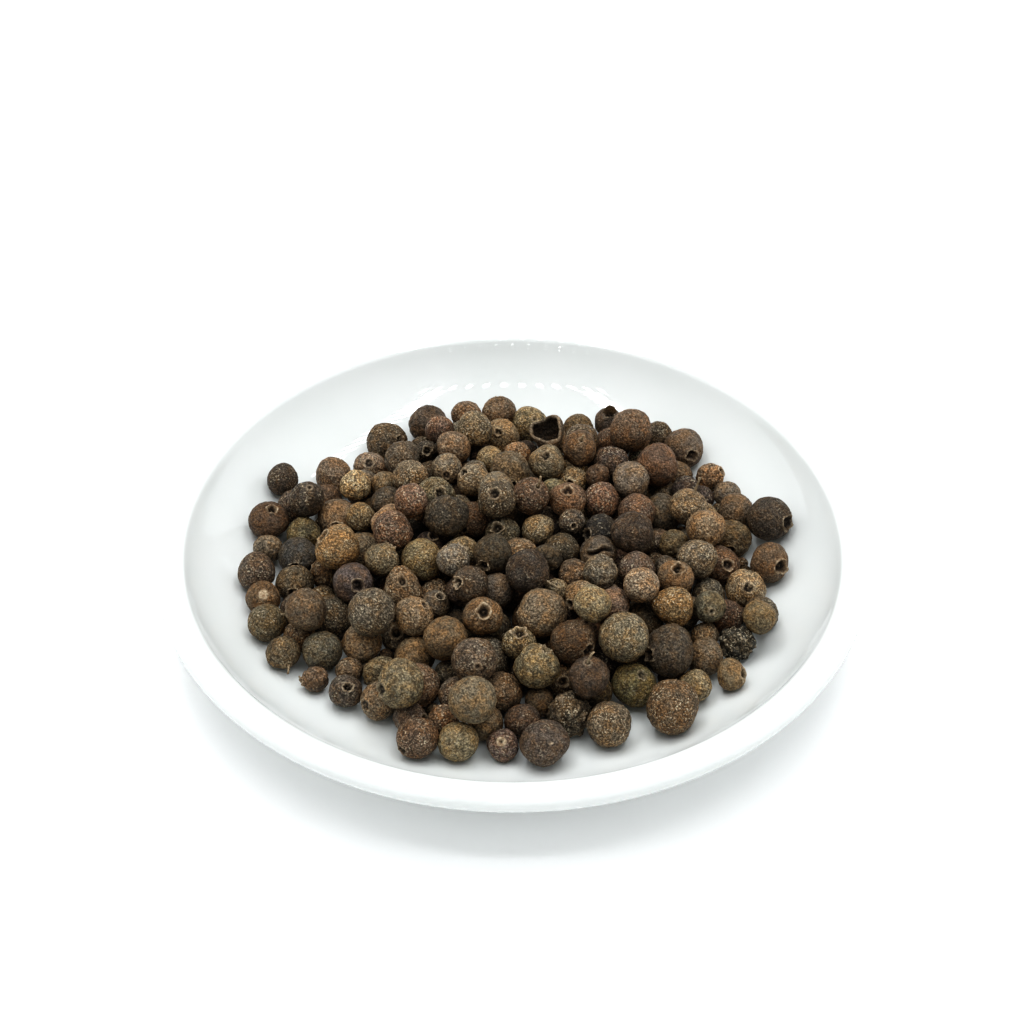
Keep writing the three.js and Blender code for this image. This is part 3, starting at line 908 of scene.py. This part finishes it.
def fill_gaps(berries):
    """Small berries under the rest, where the dish would show between them."""
    draws = Draws(FILLER_SEED)
    for _ in range(FILLER_TRIES):
        x, y = draws.place(FILLER_REACH)
        r = LEAST_FILLER + (GREATEST_FILLER - LEAST_FILLER) * draws.number()
        ball = Ball(x, y, r, look=Look("buried"))
        ball.z = FLOOR_HEIGHT + r
        keep_in_dish(ball)
        if all(distance(ball, other) > ball.r + other.r - FILLER_PRESS for other in berries):
            berries.append(ball)


def distance(a, b):
    return math.sqrt((a.x - b.x) ** 2 + (a.y - b.y) ** 2 + (a.z - b.z) ** 2)


def give_looks(berries):
    """Each berry that has no look of its own gets one: the nearest seen one's, or one by lot."""
    for x, y, z, look in SEEN_BERRIES:
        place = Ball(x, y, 0)
        place.z = z
        unmarked = [ball for ball in berries if ball.look is None]
        min(unmarked, key=lambda ball: distance(ball, place)).look = look
    for number, ball in enumerate(berries):
        if ball.look is not None:
            continue
        rng = np.random.default_rng(LOOK_SEED + number)
        kind = "buried" if is_buried(ball, berries) else pick(KIND_SHARES, rng)
        ball.look = Look(kind, None, pick(COLOUR_SHARES, rng))


def add_stalk(batch, base, ahead, look, rng):
    length = look.shape.get("stalk", rng.uniform(0.8, 2.4))
    if "sag" in look.shape:
        sag = 1.2 * front_axis(*look.shape["sag"])
    else:
        sag = rng.normal(scale=0.4, size=3)
    stalk, faces = stalk_tube(base, ahead, length, sag, rng)
    batch.add(stalk, faces, COLOURS["olive"], rim=0.45, pit=0, fleck=0.3)


def add_flap(batch, base, ahead, look, rng):
    flap, faces = torn_flap(base, ahead, look.shape["flap"], rng)
    batch.add(flap, faces, COLOURS["brown"], rim=0.15, pit=0, fleck=0.3)


def add_berry(batch, ball, rng):
    """Adds a berry to its batch, shaped, turned and coloured as its look says."""
    look = ball.look
    grid = GRIDS.get(look.kind, FINE_GRID)
    if look.kind == "cup":
        places, rim, pit = broken_cup(ball.r, grid, rng)
    else:
        places, rim, pit = berry_shape(ball.r, look, grid, rng)
    ahead = rng.normal(size=3) if look.turn is None else front_axis(*look.turn)
    ahead /= np.linalg.norm(ahead)
    turn = turned_to(ahead, look.shape.get("spin", any_angle(rng)))
    places = draw_out(places @ turn.T, look, ball.r)
    rim = np.maximum(rim, pale_spot(places, look, ball.r))
    middle = np.array([ball.x, ball.y, ball.z])
    colour = berry_colour(look, rng)
    fleck = look.shape.get("fleck", rng.uniform(0.1, 1.0))
    batch.add(places + middle, grid.faces, colour, rim, pit, fleck)
    if look.kind == "stalked":
        add_stalk(batch, middle + 0.9 * ball.r * ahead, ahead, look, rng)
    if "flap" in look.shape:
        add_flap(batch, middle + 0.85 * ball.r * ahead, ahead, look, rng)


def batch_name(ball):
    """Berries of a kind are two pieces, the small and the large. All the buried ones are one piece."""
    if ball.look.kind == "buried":
        return "berries_buried"
    size = "small" if ball.r < SMALL_RADIUS else "large"
    return f"berries_{ball.look.kind}_{size}"


def build_berries(material):
    berries = pile_up()
    fill_gaps(berries)
    give_looks(berries)
    batches = {}
    for number, ball in enumerate(berries):
        batch = batches.setdefault(batch_name(ball), Batch())
        add_berry(batch, ball, np.random.default_rng(SHAPE_SEED + number))
    return [batch.build(name, material) for name, batch in batches.items()]


# ---- Dish ----

def steps(count):
    """Even shares of the way from 0 to 1, without the 0."""
    return [step / count for step in range(1, count + 1)]


def arc_point(arc, slope):
    """The point where an arc of the wall, round the wall's own middle, has risen to a slope."""
    return FLAT_RADIUS + arc * math.sin(slope), ARC_HEIGHT - arc * math.cos(slope)


def inside_points():
    points = [(0, FLOOR_HEIGHT)]
    points += [(FLAT_RADIUS * share, FLOOR_HEIGHT) for share in steps(12)]
    points += [arc_point(WALL_ARC, WALL_SLOPE * share) for share in steps(24)]
    return points


def lip_points():
    """The rolled rim's oval, from the top of the wall round to the underside."""
    up = (WALL_TOP_HEIGHT - LIP_HEIGHT) / LIP_HALF_HEIGHT
    across = (LIP_RADIUS - WALL_TOP_RADIUS) / LIP_HALF_WIDTH
    start = math.pi - math.atan2(up, across)
    points = []
    for share in steps(24):
        angle = start + (LIP_UNDERSIDE - start) * share
        radius = LIP_RADIUS + LIP_HALF_WIDTH * math.cos(angle)
        height = LIP_HEIGHT + LIP_HALF_HEIGHT * math.sin(angle)
        points.append((radius, height))
    return points


def outside_points(start):
    """From the lip's underside in a bend into the wall's outside, and down to the floor's underside."""
    outer_arc = WALL_ARC + WALL_THICKNESS
    start_radius, start_height = start
    end_radius, end_height = arc_point(outer_arc, OUTER_SLOPE)
    bend_radius = end_radius + (start_height - end_height) / math.tan(OUTER_SLOPE)
    points = []
    for share in steps(10):
        before = (1 - share) ** 2
        between = 2 * share * (1 - share)
        after = share * share
        radius = before * start_radius + between * bend_radius + after * end_radius
        height = (before + between) * start_height + after * end_height
        points.append((radius, height))
    points += [arc_point(outer_arc, OUTER_SLOPE * (1 - share)) for share in steps(16)]
    return points


def foot_points():
    """The foot ring, with its edges taken off, and the recess inside it."""
    fillet = 0.5
    rise = 0.15
    edge = 0.25
    underside = ARC_HEIGHT - WALL_ARC - WALL_THICKNESS
    recess = FLOOR_HEIGHT - FLOOR_THICKNESS
    outer = FOOT_RADIUS + FOOT_WIDTH / 2
    inner = FOOT_RADIUS - FOOT_WIDTH / 2
    recess_radius = inner - FOOT_TAPER - fillet
    points = [
        (outer + FOOT_TAPER + fillet, underside),
        (outer + FOOT_TAPER, underside - rise),
        (outer + rise, edge),
        (outer - edge, 0),
        (inner + edge, 0),
        (inner - rise, edge),
        (inner - FOOT_TAPER, recess - rise),
        (recess_radius, recess),
    ]
    points += [(recess_radius * (1 - share), recess) for share in steps(8)]
    return points


def dish_profile():
    """The dish's section from the middle of its floor over the lip to the middle of its underside."""
    lip = lip_points()
    return inside_points() + lip + outside_points(lip[-1]) + foot_points()


def build_dish(material):
    sides = 192
    profile = dish_profile()
    around = np.arange(sides) * 2 * math.pi / sides
    places = [(0, 0, profile[0][1])]
    for radius, height in profile[1:-1]:
        for angle in around:
            places.append((radius * math.cos(angle), radius * math.sin(angle), height))
    places.append((0, 0, profile[-1][1]))
    return mesh_object("glazed_dish", places, ball_faces(len(profile) - 2, sides), material)


# ---- Materials ----

# Sizes of the skins' patterns, in millimetres.
HUE_SIZE = 2.3
PATCH_SIZE = 1.6
CLUSTER_SIZE = 1.9
PIMPLE_SIZE = 0.9
SHEEN_SIZE = 0.8
STREAK_SIZE = 0.5
CELL_SIZE = 0.40
FLECK_SIZE = 0.32
GRANULE_SIZE = 0.31

COOL_TINT = (0.94, 0.98, 1.02)
WARM_TINT = (1.14, 0.98, 0.78)
# Pale flecks: partly the skin's own colour, partly painted highlight.
FLECK_AND_GLINT_COLOUR = (0.68, 0.59, 0.43)
# Painted shade: near black, in the sunken furrows between the skin's granules.
FURROW_SHADE_COLOUR = (0.012, 0.009, 0.007)
# Painted shade: near black, for hollows, creases and slits in shadow.
PAINTED_SHADE_COLOUR = (0.014, 0.010, 0.007)
RIM_COLOUR = (0.32, 0.22, 0.13)
PALE_RIM_COLOUR = (0.72, 0.60, 0.43)
FULL_COVER = 0.95  # how much of the skin's own colour the rim's colour or the painted shade can hide


class Nodes:
    """Short ways to build a tree of nodes. Each way gives back what its node puts out."""

    def __init__(self, tree):
        self.tree = tree

    def node(self, kind, inputs=None, **settings):
        node = self.tree.nodes.new(kind)
        for key, value in settings.items():
            setattr(node, key, value)
        for key, value in (inputs or {}).items():
            self.feed(value, node.inputs[key])
        return node

    def feed(self, value, socket):
        """Gives a socket its value: what another node puts out, a number or a colour."""
        if isinstance(value, (int, float)):
            socket.default_value = value
        elif isinstance(value, tuple):
            socket.default_value = (*value, 1)
        else:
            self.tree.links.new(value, socket)

    def object_place(self):
        return self.node("ShaderNodeTexCoord").outputs["Object"]

    def noise(self, size_mm, detail=2.0, roughness=0.5):
        """Noise with lumps about `size_mm` apart."""
        scale = 1 / (size_mm * METRES)
        inputs = {"Vector": self.object_place(), "Scale": scale, "Detail": detail, "Roughness": roughness}
        return self.node("ShaderNodeTexNoise", inputs).outputs["Fac"]

    def cells(self, size_mm):
        """How far each place is from the middle of its own small cell."""
        inputs = {"Vector": self.object_place(), "Scale": 1 / (size_mm * METRES)}
        return self.node("ShaderNodeTexVoronoi", inputs).outputs["Distance"]

    def attribute(self, name, output="Fac"):
        return self.node("ShaderNodeAttribute", attribute_name=name).outputs[output]

    def spread(self, value, low, high, to_low=0.0, to_high=1.0):
        """Maps low to high on to another range, and stops at its ends."""
        inputs = {"Value": value, "From Min": low, "From Max": high, "To Min": to_low, "To Max": to_high}
        return self.node("ShaderNodeMapRange", inputs).outputs["Result"]

    def grey(self, value):
        inputs = {"Red": value, "Green": value, "Blue": value}
        return self.node("ShaderNodeCombineColor", inputs).outputs["Color"]

    def times(self, a, b):
        return self.node("ShaderNodeMath", {0: a, 1: b}, operation="MULTIPLY").outputs["Value"]

    def mix(self, share, a, b, blend="MIX"):
        """Two colours mixed."""
        inputs = {0: share, 6: a, 7: b}
        return self.node("ShaderNodeMix", inputs, data_type="RGBA", blend_type=blend).outputs[2]

    def bump(self, height, depth_mm, below=None, strength=1.0):
        """A relief of this depth, on top of the one below."""
        inputs = {"Strength": strength, "Distance": depth_mm * METRES, "Height": height}
        if below is not None:
            inputs["Normal"] = below
        return self.node("ShaderNodeBump", inputs).outputs["Normal"]

    def surface(self, inputs):
        """The tree's one surface, with these inputs."""
        shader = self.node("ShaderNodeBsdfPrincipled", inputs)
        self.node("ShaderNodeOutputMaterial", {"Surface": shader.outputs["BSDF"]})


def new_material(name):
    """An empty material, and the nodes to fill it."""
    material = bpy.data.materials.new(name)
    material.use_nodes = True
    material.node_tree.nodes.clear()
    return material, Nodes(material.node_tree)


def glaze_material():
    """White porcelain glaze, very slightly cool and a little uneven."""
    material, nodes = new_material("white_glaze")
    cloud = nodes.spread(nodes.noise(18), 0.35, 0.65)
    nodes.surface({
        "Base Color": nodes.mix(cloud, (0.695, 0.722, 0.710), (0.715, 0.738, 0.728)),
        "Roughness": nodes.spread(nodes.noise(9), 0.3, 0.7, 0.02, 0.05),
        "Normal": nodes.bump(nodes.noise(22, 1.0), 0.03, strength=0.5),
        "IOR": 1.5,
    })
    return material


def mottled_skin(nodes):
    """The berry's own colour, cooler and warmer by places, in lighter and darker patches."""
    hue = nodes.spread(nodes.noise(HUE_SIZE, 4.0, 0.65), 0.42, 0.60)
    tint = nodes.mix(hue, COOL_TINT, WARM_TINT)
    patches = nodes.spread(nodes.noise(PATCH_SIZE, 3.0, 0.6), 0.3, 0.7, 0.62, 1.12)
    colour = nodes.mix(1.0, nodes.attribute("skin", "Color"), tint, "MULTIPLY")
    return nodes.mix(1.0, colour, nodes.grey(patches), "MULTIPLY")


def speckled(nodes, colour, granules):
    """Pale grains on dark ground. They are partly the skin's own colour and partly painted light: the
    granules' raised tops are painted lighter and the dips between darker, and the pale flecks are partly
    painted highlight. A berry's fleck value says how sharp and how many they are.
    """
    sharpness = nodes.attribute("fleck")
    # Painted light on the granules: lighter where their relief is high, darker where it is low, over the
    # skin's own pale grain.
    sharp = nodes.spread(granules, 0.47, 0.63, 0.68, 2.4)
    soft = nodes.spread(granules, 0.42, 0.64, 0.78, 1.55)
    grain_and_painted_shading = nodes.mix(sharpness, nodes.grey(soft), nodes.grey(sharp))
    colour = nodes.mix(1.0, colour, grain_and_painted_shading, "MULTIPLY")
    # Pale flecks, partly the skin's own colour and partly painted highlight.
    grains = nodes.spread(nodes.noise(FLECK_SIZE, 1.0, 0.5), 0.59, 0.66)
    clusters = nodes.spread(nodes.noise(CLUSTER_SIZE, 2.0, 0.6), 0.38, 0.60)
    flecks_and_glints = nodes.times(nodes.times(grains, clusters), sharpness)
    return nodes.mix(flecks_and_glints, colour, FLECK_AND_GLINT_COLOUR)


def with_crown(nodes, colour):
    """The collar's pale colour, and painted shade in hollows, creases and slits."""
    streaks = nodes.spread(nodes.noise(STREAK_SIZE, 2.0, 0.6), 0.35, 0.65)
    pale = nodes.mix(streaks, RIM_COLOUR, PALE_RIM_COLOUR)
    colour = nodes.mix(nodes.times(nodes.attribute("rim"), FULL_COVER), colour, pale)
    # Painted shade where hollows, creases and slits lie in shadow.
    return nodes.mix(nodes.times(nodes.attribute("pit"), FULL_COVER), colour, PAINTED_SHADE_COLOUR)


def berry_material():
    """A dried berry's skin."""
    material, nodes = new_material("dried_berry")
    granules = nodes.noise(GRANULE_SIZE, 2.0, 0.65)
    cells = nodes.cells(CELL_SIZE)
    colour = speckled(nodes, mottled_skin(nodes), granules)
    # Painted shade in the furrows between granules, where the cells' relief is sunk.
    furrow_shade = nodes.spread(cells, 0.52, 0.75)
    colour = nodes.mix(nodes.times(furrow_shade, 0.55), colour, FURROW_SHADE_COLOUR)
    relief = nodes.bump(nodes.noise(PIMPLE_SIZE, 2.0, 0.6), 0.25)
    relief = nodes.bump(nodes.spread(cells, 0.65, 0.0), 0.10, relief)
    nodes.surface({
        "Base Color": with_crown(nodes, colour),
        "Roughness": nodes.spread(nodes.noise(SHEEN_SIZE), 0.3, 0.7, 0.45, 0.65),
        "Specular IOR Level": 0.3,
        "Normal": nodes.bump(granules, 0.36, relief),
    })
    return material


def floor_material():
    """A matt, very pale table that glows a little, as a light table does."""
    material, nodes = new_material("pale_floor")
    nodes.surface({
        "Base Color": nodes.mix(nodes.noise(60), (0.86, 0.865, 0.865), (0.87, 0.875, 0.875)),
        "Roughness": 0.9,
        "Emission Color": (0.98, 1.0, 1.0),
        "Emission Strength": TABLE_GLOW,
    })
    return material


def lamp_material():
    material, nodes = new_material("lamp_glow")
    nodes.surface({
        "Base Color": (0.0, 0.0, 0.0),
        "Emission Color": (0.97, 0.98, 1.0),
        "Emission Strength": LAMP_GLOW,
    })
    return material


# ---- Stage, light and camera ----

TABLE_HALF_SIZE = 3000
TABLE_GLOW = 0.08

# The lamps: each one's half measures, and where the rows stand.
LAMP_HALF_WIDTH = 6
LAMP_HALF_LENGTH = 22
LAMP_GLOW = 20
FRAME_HEIGHT = 400
FRAME_FRONT = -150
FRAME_SIDE = 130
LOW_ROW_FRONT = -430
LOW_ROW_HEIGHT = 200
LOW_ROW_SCALE = 0.4

# The room's glow, darker over the middle and lighter to the sides.
MIDDLE_GLOW = 0.30
SIDE_GLOW = 1.06
MIDDLE_REACH = 0.2


def build_stage():
    size = TABLE_HALF_SIZE
    corners = [(-size, -size, 0), (size, -size, 0), (size, size, 0), (-size, size, 0)]
    floor = mesh_object("pale_table", corners, [(0, 1, 2, 3)], floor_material())


def area_light(name, place, target, size, energy):
    """A round soft light. The glaze doesn't mirror it, only the small lamps and the pale room."""
    data = bpy.data.lights.new(name, "AREA")
    data.shape = "DISK"
    data.size = size * METRES
    data.energy = energy
    light = bpy.data.objects.new(name, data)
    light.location = Vector(place) * METRES
    aim = Vector(target) - Vector(place)
    light.rotation_euler = aim.to_track_quat("-Z", "Y").to_euler()
    light.visible_glossy = False
    bpy.context.scene.collection.objects.link(light)


def lamp_rows():
    """Each lamp's middle, long half and short half. All lamps lie level."""
    right = np.array([1, 0, 0])
    back = np.array([0, 1, 0])
    for x in range(-165, 166, 30):
        yield (x, FRAME_FRONT, FRAME_HEIGHT), LAMP_HALF_LENGTH * back, LAMP_HALF_WIDTH * right
    for side in (-1, 1):
        for y in range(-120, 220, 26):
            yield (side * FRAME_SIDE, y, FRAME_HEIGHT), LAMP_HALF_LENGTH * right, LAMP_HALF_WIDTH * back
    for x in range(-220, 221, 44):
        long_half = LOW_ROW_SCALE * LAMP_HALF_LENGTH * back
        yield (x, LOW_ROW_FRONT, LOW_ROW_HEIGHT), long_half, LOW_ROW_SCALE * LAMP_HALF_WIDTH * right


def build_lamps():
    """Rows of small lamps round the camera's opening, which the glaze mirrors as short dashes."""
    sides = 8
    vertices = []
    faces = []
    for middle, long_half, short_half in lamp_rows():
        start = len(vertices)
        for side in range(sides):
            angle = 2 * math.pi * side / sides
            vertices.append(np.array(middle) + long_half * math.cos(angle) + short_half * math.sin(angle))
        faces.append(tuple(range(start, start + sides)))
    lamps = mesh_object("lamp_rows", vertices, faces, lamp_material())
    lamps.visible_camera = False
    lamps.visible_shadow = False


def build_room():
    """The pale surroundings, whose glow depends on how far a direction leans left or right."""
    world = bpy.data.worlds.new("studio")
    bpy.context.scene.world = world
    world.use_nodes = True
    nodes = Nodes(world.node_tree)
    direction = nodes.node("ShaderNodeTexCoord").outputs["Generated"]
    lean = nodes.node("ShaderNodeSeparateXYZ", {"Vector": direction}).outputs["X"]
    sideways = nodes.node("ShaderNodeMath", {0: lean}, operation="ABSOLUTE").outputs["Value"]
    background = world.node_tree.nodes["Background"]
    nodes.feed((0.985, 0.995, 1.0), background.inputs["Color"])
    glow = nodes.spread(sideways, MIDDLE_REACH, 1.0, MIDDLE_GLOW, SIDE_GLOW)
    nodes.feed(glow, background.inputs["Strength"])


def set_tones():
    bpy.context.scene.view_settings.view_transform = "Standard"
    bpy.context.scene.view_settings.look = "High Contrast"


def build_camera():
    data = bpy.data.cameras.new("front")
    data.sensor_width = SENSOR
    data.lens = FOCAL_LENGTH
    camera = bpy.data.objects.new("front", data)
    x, y, z = VIEW_TARGET
    camera.location = (
        x * METRES,
        (y - VIEW_DISTANCE * math.cos(VIEW_ELEVATION)) * METRES,
        (z + VIEW_DISTANCE * math.sin(VIEW_ELEVATION)) * METRES,
    )
    camera.rotation_euler = (math.pi / 2 - VIEW_ELEVATION, 0, 0)
    bpy.context.scene.collection.objects.link(camera)
    bpy.context.scene.camera = camera


# ---- The scene ----

build_camera()
build_room()
build_lamps()
build_stage()
area_light("overhead", place=(-20, 170, 580), target=(0, 0, 0), size=380, energy=0.92)
set_tones()

dish = build_dish(glaze_material())
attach(dish, "root")
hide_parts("dish")

for piece in build_berries(berry_material()):
    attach(piece, "root")
    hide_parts("allspice_heap")
